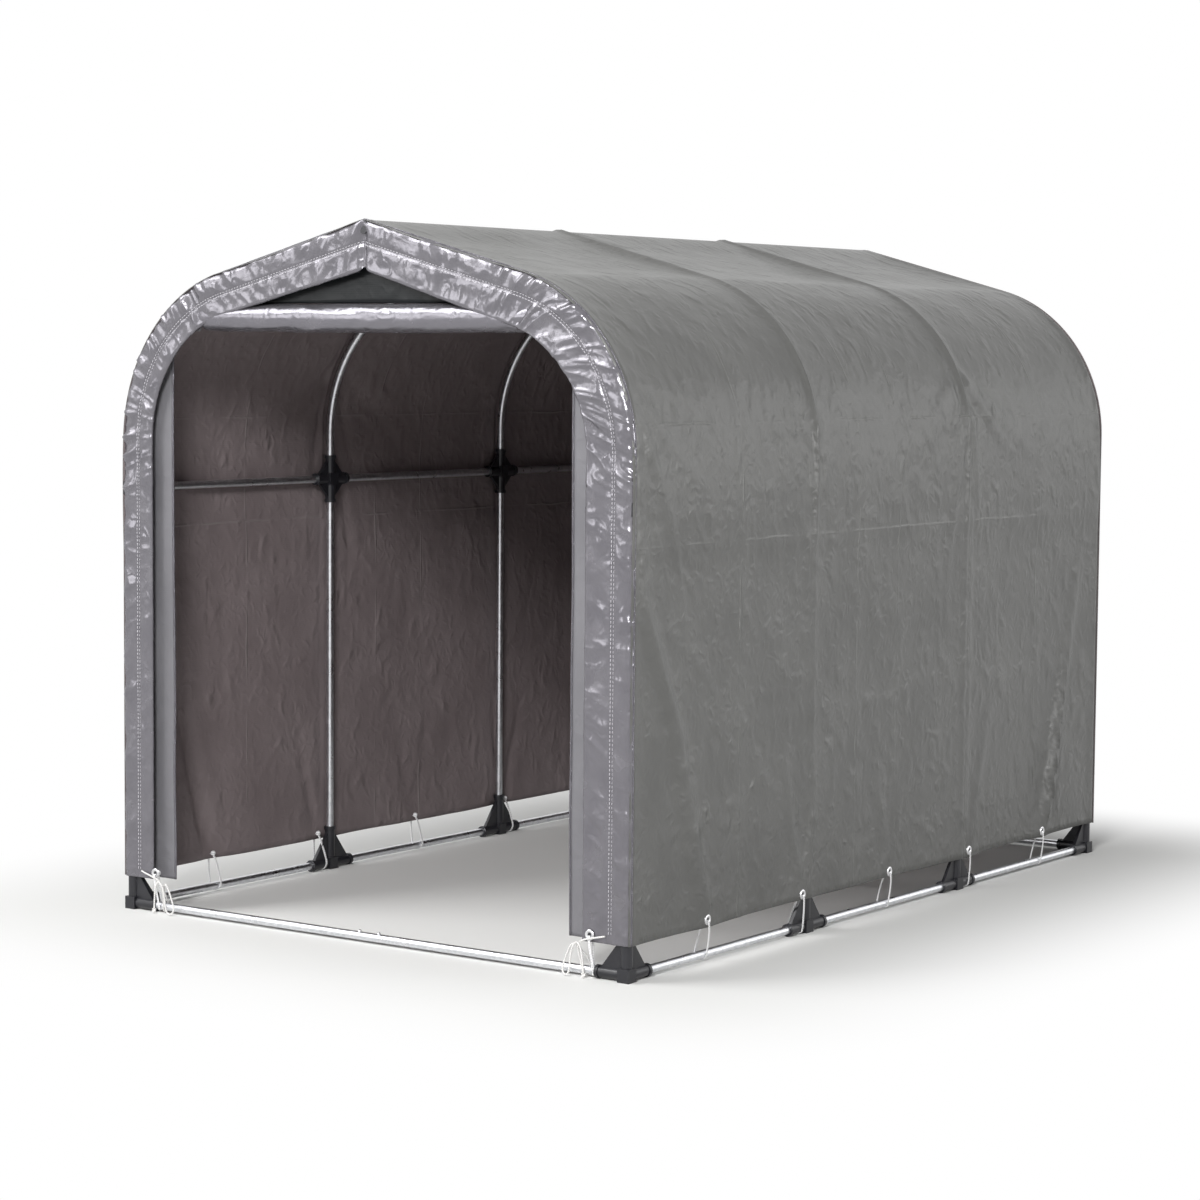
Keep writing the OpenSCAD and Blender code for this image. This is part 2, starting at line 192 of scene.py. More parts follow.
def add(tree, kind, inputs=None, **settings):
    """Adds a node; each input is a value, or another node's output to link."""
    node = tree.nodes.new("ShaderNode" + kind)
    for name, value in settings.items():
        setattr(node, name, value)
    for key, value in (inputs or {}).items():
        if isinstance(value, bpy.types.NodeSocket):
            tree.links.new(value, node.inputs[key])
        else:
            node.inputs[key].default_value = value
    return node


def new_material(name):
    """An empty node material and its shader, which the caller feeds."""
    material = bpy.data.materials.new(name)
    material.use_nodes = True
    return material, material.node_tree, material.node_tree.nodes["Principled BSDF"]


def wave_scale(period):
    """A wave texture runs through 20 radians for each unit of scale, so this gives bands that far apart."""
    return 2 * math.pi / 20 / period


# %% [markdown]
# ## Woven polyethylene sheet
# The cover is woven from flat plastic tapes and laminated on both faces. That gives a soft, slightly
# waxy sheen, a faint check of tapes, and fine crinkles from being folded small in its packet. The
# tapes are about 2.5 mm wide, too fine to show from here, so they are drawn twice as coarse.

# %% Sheet materials
TAPE = 5 * MM


def packet_creases(tree, cut, places):
    """Height of creases at these places along U and V: 1 on a line, 0 beside it, wandering a little."""
    worn = add(tree, "TexNoise", {"Vector": cut, "Scale": 1 / (140 * MM), "Detail": 2.0}).outputs["Fac"]
    wander = add(tree, "Math", {0: worn, 1: 14 * MM}, operation="MULTIPLY").outputs[0]
    axes = add(tree, "SeparateXYZ", {0: cut})
    height = 0.0
    for axis, values in zip("XY", places):
        moved = add(tree, "Math", {0: axes.outputs[axis], 1: wander}, operation="ADD").outputs[0]
        for value in values:
            apart = add(tree, "Math", {0: moved, 1: value}, operation="SUBTRACT").outputs[0]
            apart = add(tree, "Math", {0: apart}, operation="ABSOLUTE").outputs[0]
            line = add(tree, "MapRange", {0: apart, 1: 0.0, 2: 4 * MM, 3: 1.0, 4: 0.0}).outputs[0]
            height = add(tree, "Math", {0: line, 1: height}, operation="MAXIMUM").outputs[0]
    share = add(tree, "MapRange", {0: worn, 1: 0.46, 2: 0.62, 3: 0.05, 4: 1.0}).outputs[0]
    return add(tree, "Math", {0: height, 1: share}, operation="MULTIPLY").outputs[0]


def woven_sheet(name, colours, roughness, crinkle, shine=0.5, creases=None, gable_shade=None):
    """Tapes along both directions of the cut, cloudy colour, crinkles and packet creases as bump.

    shine is the specular level, 0.5 for what the IOR gives. The last option is a height on V and a
    dark colour painted above it: painted shade, where the band and roof shade the gable.
    """
    material, tree, shader = new_material(name)
    cut = add(tree, "UVMap", uv_map="cut").outputs["UV"]
    warp = add(tree, "TexWave", {"Vector": cut, "Scale": wave_scale(TAPE)}, bands_direction="X")
    weft = add(tree, "TexWave", {"Vector": cut, "Scale": wave_scale(TAPE)}, bands_direction="Y")
    tapes = add(tree, "Math", {0: warp.outputs["Fac"], 1: weft.outputs["Fac"]}, operation="MULTIPLY")
    cloud = add(tree, "TexNoise", {"Vector": cut, "Scale": 1 / (180 * MM), "Detail": 4.0}).outputs["Fac"]
    shade = add(tree, "MapRange", {0: cloud, 1: 0.3, 2: 0.7, 3: 0.0, 4: 1.0}).outputs[0]
    base = add(tree, "Mix", {0: shade, 6: linear(colours[0]), 7: linear(colours[1])},
               data_type="RGBA").outputs[2]
    gloss = add(tree, "MapRange", {0: cloud, 1: 0.3, 2: 0.7, 3: roughness, 4: roughness + 0.08}).outputs[0]
    tree.links.new(gloss, shader.inputs["Roughness"])
    normal = add(tree, "Bump", {"Strength": 0.35, "Distance": 0.25 * MM,
                                "Height": tapes.outputs[0]}).outputs[0]
    if creases:
        line = packet_creases(tree, cut, creases)
        normal = add(tree, "Bump", {"Distance": 1.2 * MM, "Height": line, "Normal": normal}).outputs[0]
        faint = add(tree, "Math", {0: line, 1: 0.2}, operation="MULTIPLY").outputs[0]
        base = add(tree, "Mix", {0: faint, 6: base, 7: linear("#a3a4a0")}, data_type="RGBA").outputs[2]
    if gable_shade:
        # Painted shade: above this height on V the base colour gives way to the dark one, for a gable in
        # shade.
        v = add(tree, "SeparateXYZ", {0: cut}).outputs["Y"]
        gable_shade_mask = add(tree, "MapRange", {0: v, 1: gable_shade[0] - 1 * MM, 2: gable_shade[0] + 1 * MM}).outputs[0]
        base = add(tree, "Mix", {0: gable_shade_mask, 6: base, 7: linear(gable_shade[1])}, data_type="RGBA").outputs[2]
    tree.links.new(base, shader.inputs["Base Color"])
    patch = add(tree, "MapRange", {0: cloud, 1: 0.35, 2: 0.65, 3: 0.45, 4: 1.0}).outputs[0]
    # Large crinkles, slanting small ones and a crackle: cell in mm, stretch, slant, share of the depth
    for cell, stretch, slant, share in ((80, 0.8, 0.5, 0.5), (42, 0.7, -0.8, 0.5), (20, 0.9, 1.2, 0.2)):
        turned = add(tree, "Mapping", {"Vector": cut, "Rotation": (0, 0, slant),
                                       "Scale": (stretch, 1.0, 1.0)})
        ridges = add(tree, "TexNoise", {"Vector": turned.outputs[0], "Scale": 1 / (cell * MM), "Detail": 3.0,
                                        "Distortion": 0.4}, noise_type="RIDGED_MULTIFRACTAL").outputs["Fac"]
        height = add(tree, "Math", {0: ridges, 1: patch}, operation="MULTIPLY").outputs[0]
        normal = add(tree, "Bump", {"Distance": share * crinkle, "Height": height,
                                    "Normal": normal}).outputs[0]
    tree.links.new(normal, shader.inputs["Normal"])
    shader.inputs["IOR"].default_value = 1.5
    shader.inputs["Specular IOR Level"].default_value = shine
    return material


# %% [markdown]
# ## Silvered film
# The band round the doorway and the rolled door are a thin plastic film with a silver coat. It shines
# partly as metal and partly as plastic, and each crumple is a small facet with a sharp ridge, so the
# highlights break up. A ridged noise as bump gives such facets without any more faces in the mesh.


# %% Film materials
def silvered_film(name, colours, crumple):
    """Film with a thin silver coat: half metal, half plastic, crumpled into facets with sharp ridges."""
    material, tree, shader = new_material(name)
    cut = add(tree, "UVMap", uv_map="cut").outputs["UV"]
    cloud = add(tree, "TexNoise", {"Vector": cut, "Scale": 1 / (60 * MM), "Detail": 4.0}).outputs["Fac"]
    mix = add(tree, "Mix", {0: cloud, 6: linear(colours[0]), 7: linear(colours[1])}, data_type="RGBA")
    tree.links.new(mix.outputs[2], shader.inputs["Base Color"])
    rough = add(tree, "MapRange", {0: cloud, 1: 0.3, 2: 0.7, 3: 0.18, 4: 0.3}).outputs[0]
    tree.links.new(rough, shader.inputs["Roughness"])
    facets = add(tree, "TexNoise", {"Vector": cut, "Scale": 1 / (24 * MM), "Detail": 3.0, "Distortion": 0.5},
                 noise_type="RIDGED_MULTIFRACTAL").outputs["Fac"]
    fine = add(tree, "TexNoise", {"Vector": cut, "Scale": 1 / (11 * MM), "Detail": 2.0}).outputs["Fac"]
    normal = add(tree, "Bump", {"Distance": crumple, "Height": facets}).outputs[0]
    normal = add(tree, "Bump", {"Distance": 0.2 * crumple, "Height": fine, "Normal": normal}).outputs[0]
    tree.links.new(normal, shader.inputs["Normal"])
    shader.inputs["Metallic"].default_value = 0.6
    shader.inputs["IOR"].default_value = 1.55
    return material


fascia_film = silvered_film("silvered_film", ("#68666c", "#807e83"), 2.0 * MM)
door_film = silvered_film("silvered_door_film", ("#706e74", "#7f7d83"), 1.4 * MM)
print("films:", fascia_film.name, door_film.name)

# %% [markdown]
# ## Metal, resin and cord
# The pipes are hot-dip galvanised: a pale, slightly cloudy metal with soft crystals of zinc. The
# joints are black resin, moulded with a fine spark-eroded grain. The ties and drawcords are braided,
# so their colour and bump follow slanting strands in the tube's own UV map.


# %% Steel and resin
def galvanised_steel():
    """Zinc crystals: a Voronoi cell pattern shifts colour and roughness a little from cell to cell."""
    material, tree, shader = new_material("galvanised_steel")
    place = add(tree, "TexCoord").outputs["Object"]
    crystals = add(tree, "TexVoronoi", {"Vector": place, "Scale": 1 / (9 * MM)})
    mix = add(tree, "Mix", {0: crystals.outputs["Color"], 6: linear("#cfd1d5"), 7: linear("#e6e7ea")},
              data_type="RGBA")
    tree.links.new(mix.outputs[2], shader.inputs["Base Color"])
    haze = add(tree, "TexNoise", {"Vector": place, "Scale": 1 / (30 * MM), "Detail": 3.0})
    rough = add(tree, "MapRange", {0: haze.outputs["Fac"], 1: 0.3, 2: 0.7, 3: 0.26, 4: 0.4})
    tree.links.new(rough.outputs[0], shader.inputs["Roughness"])
    shader.inputs["Metallic"].default_value = 1.0
    return material


def moulded_resin():
    """Black polypropylene: grain of about 1 mm as bump, drawn coarse so that it shows, and scuffs."""
    material, tree, shader = new_material("moulded_black_resin")
    place = add(tree, "TexCoord").outputs["Object"]
    scuff = add(tree, "TexNoise", {"Vector": place, "Scale": 1 / (35 * MM), "Detail": 5.0})
    mix = add(tree, "Mix", {0: scuff.outputs["Fac"], 6: linear("#18181c"), 7: linear("#2a2a2f")},
              data_type="RGBA")
    tree.links.new(mix.outputs[2], shader.inputs["Base Color"])
    grain = add(tree, "TexNoise", {"Vector": place, "Scale": 1 / (1 * MM), "Detail": 2.0})
    bump = add(tree, "Bump", {"Strength": 0.4, "Distance": 0.15 * MM, "Height": grain.outputs["Fac"]})
    tree.links.new(bump.outputs[0], shader.inputs["Normal"])
    shader.inputs["Roughness"].default_value = 0.34
    return material


# %% Braid and plating
def braid(name, colour, shadow, strand):
    """Braided cord: two slanting sets of strands, each as wide as strand, crossed by their product."""
    material, tree, shader = new_material(name)
    along = add(tree, "UVMap", uv_map="cut").outputs["UV"]
    slants = [add(tree, "Mapping", {"Vector": along, "Scale": (1.0, side * 4 * strand, 1.0)}).outputs[0]
              for side in (1, -1)]
    sets = [add(tree, "TexWave", {"Vector": v, "Scale": wave_scale(strand)}, bands_direction="DIAGONAL")
            for v in slants]
    weave = add(tree, "Math", {0: sets[0].outputs["Fac"], 1: sets[1].outputs["Fac"]}, operation="MAXIMUM")
    mix = add(tree, "Mix", {0: weave.outputs[0], 6: linear(shadow), 7: linear(colour)}, data_type="RGBA")
    tree.links.new(mix.outputs[2], shader.inputs["Base Color"])
    bump = add(tree, "Bump", {"Strength": 0.7, "Distance": 0.4 * MM, "Height": weave.outputs[0]})
    tree.links.new(bump.outputs[0], shader.inputs["Normal"])
    shader.inputs["Roughness"].default_value = 0.6
    return material


def plated_brass():
    """Nickel-plated eyelets: bright, with a faint brushed haze in the roughness."""
    material, tree, shader = new_material("nickel_plated_eyelet")
    place = add(tree, "TexCoord").outputs["Object"]
    haze = add(tree, "TexNoise", {"Vector": place, "Scale": 1 / (4 * MM), "Detail": 3.0})
    rough = add(tree, "MapRange", {0: haze.outputs["Fac"], 1: 0.3, 2: 0.7, 3: 0.2, 4: 0.36})
    tree.links.new(rough.outputs[0], shader.inputs["Roughness"])
    shader.inputs["Base Color"].default_value = linear("#e2e2e4")
    shader.inputs["Metallic"].default_value = 1.0
    return material


# %% Finish the hard pieces
steel, resin, nickel = galvanised_steel(), moulded_resin(), plated_brass()
elastic = braid("braided_elastic", "#f4f4f4", "#c6c6ca", 3 * MM)
drawcord_braid = braid("braided_polyester", "#f1f0ee", "#c2c0be", 2.5 * MM)
RESIN_ENDINGS = ("_joint", "_joints", "_tees", "_crosses")
for node_name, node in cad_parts.items():
    node.data.materials.clear()
    node.data.materials.append(resin if node_name.endswith(RESIN_ENDINGS) else steel)
print("hard finishes on", len(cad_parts), "nodes")

# %% [markdown]
# ## The hoop outline
# All the soft pieces follow one line: the axis of a bent hoop. Distance along it is measured from
# the peak, and a point can be moved outwards from the line. The sizes come from the boxes of CAD
# nodes; only the bend and the pitch of the roof are named here.

# %% Sizes from the frame
BEND_R = 385 * MM
ROOF_PITCH = math.radians(15)
PIPE_R = 9.5 * MM


def middle(node_name):
    """Centre of a CAD node's box."""
    low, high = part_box(node_name)
    return (low + high) / 2


cover_low, cover_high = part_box("main_cover")
LEG_X = middle("right_base_rails").x
RAIL_Z = middle("right_base_rails").z
MID_RAIL_Z = middle("right_mid_rails").z
FRONT_Y, BACK_Y = middle("front_hoop_legs").y, middle("back_hoop_legs").y
BAY = (BACK_Y - FRONT_Y) / 3
HEM_Z = cover_low.z
SKIN = cover_high.x - LEG_X
SHEET_T = 1.5 * MM
FRONT_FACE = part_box("front_fascia")[0].y
BACK_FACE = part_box("back_panel")[1].y
SHOULDER_X = LEG_X - BEND_R
skin_bend_x = SHOULDER_X + (BEND_R + SKIN) * math.sin(ROOF_PITCH)
EAVES_Z = cover_high.z - (BEND_R + SKIN) * math.cos(ROOF_PITCH) - skin_bend_x * math.tan(ROOF_PITCH)
BEND_TURN = math.pi / 2 - ROOF_PITCH
SLOPE_L = (SHOULDER_X + BEND_R * math.sin(ROOF_PITCH)) / math.cos(ROOF_PITCH)
BEND_L = BEND_R * BEND_TURN
FOOT = SLOPE_L + BEND_L + EAVES_Z - HEM_Z
print(f"hoop: eaves {EAVES_Z:.3f} m, slope {SLOPE_L:.3f} m, bend {BEND_L:.3f} m, foot at {FOOT:.3f} m")


# %% Outline function
def hoop(s, off):
    """Point and outward direction in X and Z at distance s from the peak, moved outwards by off.

    A straight slope, then an arc of radius BEND_R + off, then a straight wall; a negative s is the
    left half. The slope is scaled so that both halves meet in a mitre at the peak.
    """
    t = np.abs(s)
    side = np.where(s < 0, -1.0, 1.0)
    on_slope = np.clip(t / SLOPE_L, 0, 1)
    angle = BEND_TURN * (1 - np.clip((t - SLOPE_L) / BEND_L, 0, 1))
    fall = np.clip(t - SLOPE_L - BEND_L, 0, None)
    radius = BEND_R + off
    slope_end = SHOULDER_X + radius * math.sin(ROOF_PITCH)
    x = np.where(t < SLOPE_L, on_slope * slope_end, SHOULDER_X + radius * np.cos(angle))
    z = EAVES_Z + radius * np.sin(angle) - fall + (1 - on_slope) * slope_end * math.tan(ROOF_PITCH)
    return side * x, z, side * np.cos(angle), np.sin(angle)


def step(x, start, end):
    """Smooth step from 0 at start to 1 at end: 3 t^2 - 2 t^3."""
    t = np.clip((x - start) / (end - start), 0, 1)
    return t * t * (3 - 2 * t)


def noise(u, v, seed):
    """Smooth noise from -1 to 1: seeded values at whole numbers, blended by 3 t^2 - 2 t^3 in between."""
    table = np.random.default_rng(seed).uniform(-1, 1, (97, 97))
    i, j = np.floor(u).astype(int), np.floor(v).astype(int)
    a, b = step(u - i, 0, 1), step(v - j, 0, 1)
    near = table[i % 97, j % 97] * (1 - a) + table[(i + 1) % 97, j % 97] * a
    far = table[i % 97, (j + 1) % 97] * (1 - a) + table[(i + 1) % 97, (j + 1) % 97] * a
    return near * (1 - b) + far * b


# %% [markdown]
# ## Drawcords
# A cord runs in a hem round the doorway, comes out of an eyelet at each front corner and is tied in
# loose loops. It is shown from end to end, so its length is what the route measures. The route is
# the one that the CAD solid follows, and a small overhand knot closes the tail.

# %% Drawcords and their knots
CORD_D = 4 * MM
# Inward from the leg, forward of the sill, and height, in millimetres
DRAWCORD_ROUTE = [
    (44, 19, 97), (62, 23, 93), (85, 26, 88), (105, 25, 80), (112, 23, 66), (111, 18, 45),
    (109, 14, 26), (107, 12, 14), (106, 7, 5), (105, 0, 3), (104, -7, 5), (103, -12, 15),
    (102, -9, 27), (104, 2, 45), (111, 14, 61), (121, 21, 73), (131, 24, 68), (142, 24, 46),
    (150, 24, 24), (151, 25, 12), (143, 27, 4), (133, 29, 10), (129, 30, 28), (126, 30, 52),
    (120, 31, 70), (110, 31, 79), (100, 31, 68), (96, 30, 45), (94, 29, 26), (93, 29, 14)]
for side_name, side in (("left", -1), ("right", 1)):
    inward, ahead, height = np.array(DRAWCORD_ROUTE).T * MM
    path = smooth(np.stack([side * (LEG_X - inward), FRONT_Y - ahead, height], axis=1), 6)
    points, uv = tube_points(path, CORD_D / 2, 10)
    drawcord = surface(f"{side_name}_drawcord_line", points, uv, (False, True), caps=True, flip=True)
    fit(drawcord, "cord", drawcord_braid, f"{side_name}_drawcord")
    turn = np.linspace(0, 2 * np.pi, 72, endpoint=False)
    # A trefoil: one turn round the ring and two round its middle
    trefoil = np.stack([np.sin(turn) + 2 * np.sin(2 * turn), -1.3 * np.sin(3 * turn),
                        np.cos(turn) - 2 * np.cos(2 * turn)], axis=1)
    knot_path = path[-1] - (0, 0, 5 * MM) + 1.6 * MM * trefoil
    points, uv = tube_points(knot_path, 1.8 * MM, 10, closed=True)
    knot = surface(f"{side_name}_drawcord_knot", points, uv, (True, True), flip=True)
    fit(knot, "cord", drawcord_braid, "drawcord_knots")

# %% [markdown]
# ## Main cover
# One sheet runs from one hem over the ridge to the other hem. It is a grid: distance along the hoop
# one way, Y the other way. The hoops, the rails half way up and the ridge rail hold it out, so it
# sags only between them. Folds are soft ridges along lines, and where the sheet was folded in its
# packet it keeps thin straight creases. Solidify then gives it thickness and a duller inner face.
# The inner face's colour is partly its own and partly painted light: lighter and browner, for daylight
# through the sheet.


# %% Folds
def fold(y, h, route, width, ends=(1.0, 1.0)):
    """Ridge along a route of (y, h) points: exp(-(distance / width)^2), scaled from one end to the other."""
    ridge = np.zeros_like(y)
    for k, ((y0, h0), (y1, h1)) in enumerate(zip(route, route[1:])):
        run = (y1 - y0) ** 2 + (h1 - h0) ** 2
        along = np.clip(((y - y0) * (y1 - y0) + (h - h0) * (h1 - h0)) / run, 0, 1)
        apart = np.hypot(y - y0 - along * (y1 - y0), h - h0 - along * (h1 - h0))
        scale = ends[0] + (ends[1] - ends[0]) * (k + along) / (len(route) - 1)
        ridge = np.maximum(ridge, scale * np.exp(-((apart / width) ** 2)))
    return ridge


# Routes on the right wall as (y, height), then half width and rise in millimetres, and both ends' share
WALL_FOLDS = [
    ([(-1.12, 1.31), (-1.07, 0.83), (-0.94, 0.55), (-0.81, 0.12)], 24, 15, (0.6, 1.0)),
    ([(-1.09, 1.28), (-0.93, 1.12), (-0.79, 1.02)], 16, 8, (1.0, 0.0)),
    ([(-1.09, 1.30), (-0.86, 1.24), (-0.69, 1.20)], 16, 7, (1.0, 0.0)),
    ([(-1.07, 1.20), (-0.96, 0.98), (-0.88, 0.74)], 18, 8, (1.0, 0.0)),
    ([(0.32, 1.27), (0.16, 1.16), (0.02, 1.06)], 15, 8, (1.0, 0.0)),
    ([(0.32, 1.24), (0.20, 1.14), (0.12, 1.08)], 13, 7, (1.0, 0.0)),
    ([(0.32, 1.22), (0.27, 1.08), (0.22, 0.96)], 13, 7, (1.0, 0.0)),
    ([(0.35, 1.20), (0.29, 0.95), (0.26, 0.69)], 15, 7, (1.0, 0.0)),
    ([(0.39, 1.27), (0.48, 1.17), (0.56, 1.10)], 14, 8, (1.0, 0.0)),
    ([(0.39, 1.25), (0.52, 1.15), (0.64, 1.07)], 14, 7, (1.0, 0.0)),
    ([(0.40, 1.28), (0.58, 1.16), (0.75, 1.06)], 15, 8, (1.0, 0.0)),
    ([(0.39, 1.18), (0.41, 1.02), (0.43, 0.85)], 14, 7, (1.0, 0.0)),
    ([(1.02, 0.92), (0.94, 0.56), (0.88, 0.36), (0.81, 0.10)], 18, 28, (0.0, 1.0)),
    ([(-0.40, 0.10), (-0.46, 0.30), (-0.50, 0.52)], 15, 8, (1.0, 0.0)),
    ([(-0.40, 0.10), (-0.36, 0.28), (-0.34, 0.44)], 13, 7, (1.0, 0.0)),
    ([(0.00, 0.10), (-0.05, 0.30), (-0.07, 0.46)], 14, 7, (1.0, 0.0)),
    ([(0.00, 0.10), (0.06, 0.26), (0.10, 0.42)], 14, 7, (1.0, 0.0)),
    ([(0.40, 0.10), (0.46, 0.30), (0.52, 0.50)], 15, 8, (1.0, 0.0)),
    ([(-0.80, 0.10), (-0.74, 0.26), (-0.70, 0.44)], 14, 7, (1.0, 0.0)),
]
# Heights of the level creases that the sheet keeps from its packet, and Y of the upright ones
LEVEL_CREASES = (0.92, 1.178, 0.52)
UPRIGHT_CREASES = (-0.665, -0.157, 0.034, 0.386, 0.76)


def wall_relief(y, h):
    """Rise of the folds and creases of one wall, at y and the height h that a straight wall would have."""
    rise = sum(height * MM * fold(y, h, route, width * MM, ends) for route, width, height, ends in WALL_FOLDS)
    wander = 6 * MM * noise(y * 4, h * 4, 3)
    for level in LEVEL_CREASES:
        rise = rise + 1.8 * MM * np.exp(-(((h - level + wander) / (15 * MM)) ** 2))
    for at in UPRIGHT_CREASES:
        rise = rise + 1.6 * MM * np.exp(-(((y - at + wander) / (12 * MM)) ** 2))
    return rise


# %% Cover finish
crease_s = [side * (SLOPE_L + BEND_L + EAVES_Z - level) for level in LEVEL_CREASES[:2] for side in (-1, 1)]
cover_creases = (crease_s, UPRIGHT_CREASES)
cover_outside = woven_sheet("woven_polyethylene_outside", ("#595957", "#646462"), 0.31, 13 * MM,
                            creases=cover_creases)
# Inner face: partly its own duller colour, partly painted light, lighter and browner for daylight shining
# through the sheet.
cover_inside = woven_sheet("woven_polyethylene_inside", ("#746a6b", "#807677"), 0.5, 12 * MM,
                           shine=0.2, creases=cover_creases)
print("sheets:", cover_outside.name, cover_inside.name)

# %% Cover relief
SLOPE_SAG, BEND_SAG, WALL_SAG = 13 * MM, 11 * MM, 6 * MM
RIB_RISE, RIB_W = 5 * MM, 9 * MM
EYELET_Z = HEM_Z + 15 * MM
END_TIE_Y, TEE_TIE_Y = 800 * MM, 400.5 * MM


def cover_relief(s, y):
    """Rise of the cover above its CAD face: sag between the hoops, folds, creases and a slow billow."""
    t = np.abs(s)
    h = EAVES_Z - (t - SLOPE_L - BEND_L)
    bay = np.mod((y - FRONT_Y) / BAY, 1.0)
    from_hoop = np.minimum(bay, 1 - bay) * BAY
    span = 0.65 * (1 - np.exp(-from_hoop / 0.025)) + 0.35 * 4 * bay * (1 - bay)
    from_rail = np.abs(h - MID_RAIL_Z)
    held = step(from_rail, 0.02, 0.16) * step(t, 0.015, 0.12)
    slope_sag = SLOPE_SAG * np.sin(np.pi * np.clip(t / (SLOPE_L * 1.02), 0, 1)) ** 0.8
    bend_sag = BEND_SAG * np.sin(np.pi * np.clip((t - SLOPE_L) / (BEND_L * 1.3), 0, 1))
    wall_sag = WALL_SAG * (h < EAVES_Z)
    sag = -span * np.maximum(np.maximum(slope_sag, bend_sag), wall_sag) * held
    free = step(from_hoop, 0.02, 0.14) * held
    billow = free * (4 * MM * noise(s * 3.1, y * 2.7, 11) + 1.5 * MM * noise(s * 9, y * 7, 12))
    roof_lines = free * 1.8 * MM * noise(s * 20, y * 4, 13) * (t < SLOPE_L + 0.5 * BEND_L)
    mirrored = np.where(s < 0, -y, y)
    sewn = step(y, cover_low.y, cover_low.y + 0.06) * (1 - step(y, cover_high.y - 0.06, cover_high.y))
    relief = sewn * wall_relief(mirrored, h) * step(t, SLOPE_L * 0.9, SLOPE_L + 0.3 * BEND_L)
    above_rail = 1 - step(h, MID_RAIL_Z, MID_RAIL_Z - 0.15)
    rib = RIB_RISE * np.exp(-((from_hoop / RIB_W) ** 2)) * sewn * above_rail
    # The eyelets of the ties pull the sheet back to its CAD face
    pinned = np.ones_like(s)
    for at in (-END_TIE_Y, -TEE_TIE_Y, 0.0, TEE_TIE_Y, END_TIE_Y):
        pinned = pinned * (1 - np.exp(-((y - at) ** 2 + (h - EYELET_Z) ** 2) / (45 * MM) ** 2))
    return pinned * (sag + billow + roof_lines + relief + rib)


# %% Cover surface
BAY_STEPS, ROWS = 60, 250
# Columns crowd together at the hoops, where the sheet bends most: u - 0.6 sin(2 pi u) / (2 pi) in each bay
u = np.arange(3 * BAY_STEPS + 1) / BAY_STEPS
columns = FRONT_Y + BAY * (u - 0.6 * np.sin(2 * np.pi * u) / (2 * np.pi))
columns = np.concatenate([[cover_low.y], columns, [cover_high.y]])
s, y = np.meshgrid(np.linspace(-FOOT, FOOT, ROWS), columns, indexing="ij")
x, z, _, _ = hoop(s, SKIN + cover_relief(s, y))
hem_wave = 3 * MM * noise(y * 5, np.sign(s) * 3.0, 14)
z = z + hem_wave * np.exp(-np.clip(z - HEM_Z, 0, None) / 0.05)
main_cover = surface("cover_sheet", np.stack([x, y, z], axis=-1), np.stack([s, y], axis=-1))
fit(main_cover, "cover_sheet", cover_outside, "main_cover")
main_cover.data.materials.append(cover_inside)
thick = main_cover.modifiers.new("thickness", "SOLIDIFY")
thick.thickness = SHEET_T
thick.offset = -1
thick.material_offset = 1
print(f"cover: rows of {2 * FOOT / (ROWS - 1) / MM:.1f} mm by columns of {BAY / BAY_STEPS / MM:.1f} mm")

# %% [markdown]
# ## Gathered band
# A band of shiny film wraps the front hoop. Its section is a rounded corner, a flat front and a
# rolled inner edge, carried along the hoop. A seam holds it half way across, and outside the seam it
# is puffed out by the pipe. At the shoulders the same length of film has to fit a shorter curve, so
# it gathers into many sharp folds across the band; on the straight legs there are only a few.

# %% Band section
CORNER_R = 13 * MM
EDGE_R = 7 * MM
SEAM_W = 58 * MM


def band_width(s):
    """Width across the front: wider on the right leg than on the left, as the band is twisted a little."""
    return 110 * MM + 16 * MM * np.clip(s / 0.6, -1, 1)


def band_length(s):
    """Length across the band, from its outer to its inner edge."""
    return band_width(s) - CORNER_R - EDGE_R + (CORNER_R + EDGE_R) * np.pi / 2


def band_section(w, width):
    """Offset from the hoop, depth behind the front face and facing, at distance w across the band.

    A quarter circle of CORNER_R, a straight front, and a quarter circle of EDGE_R at the inner edge.
    """
    corner_l = CORNER_R * np.pi / 2
    flat_l = width - CORNER_R - EDGE_R
    a = np.clip(w / CORNER_R, 0, np.pi / 2)
    flat = np.clip(w - corner_l, 0, flat_l)
    b = np.clip((w - corner_l - flat_l) / EDGE_R, 0, np.pi / 2)
    off = SKIN - CORNER_R + CORNER_R * np.cos(a) - flat - EDGE_R * np.sin(b)
    back = CORNER_R * (1 - np.sin(a)) + EDGE_R * (1 - np.cos(b))
    return off, back, np.cos(a) - np.sin(b), np.sin(a) * np.cos(b)


# %% Gathers
def ridged(u, v, seed):
    """Sharp crests: 1 - |noise|, squared, so that flat valleys lie between narrow folds."""
    return (1 - np.abs(noise(u, v, seed))) ** 2


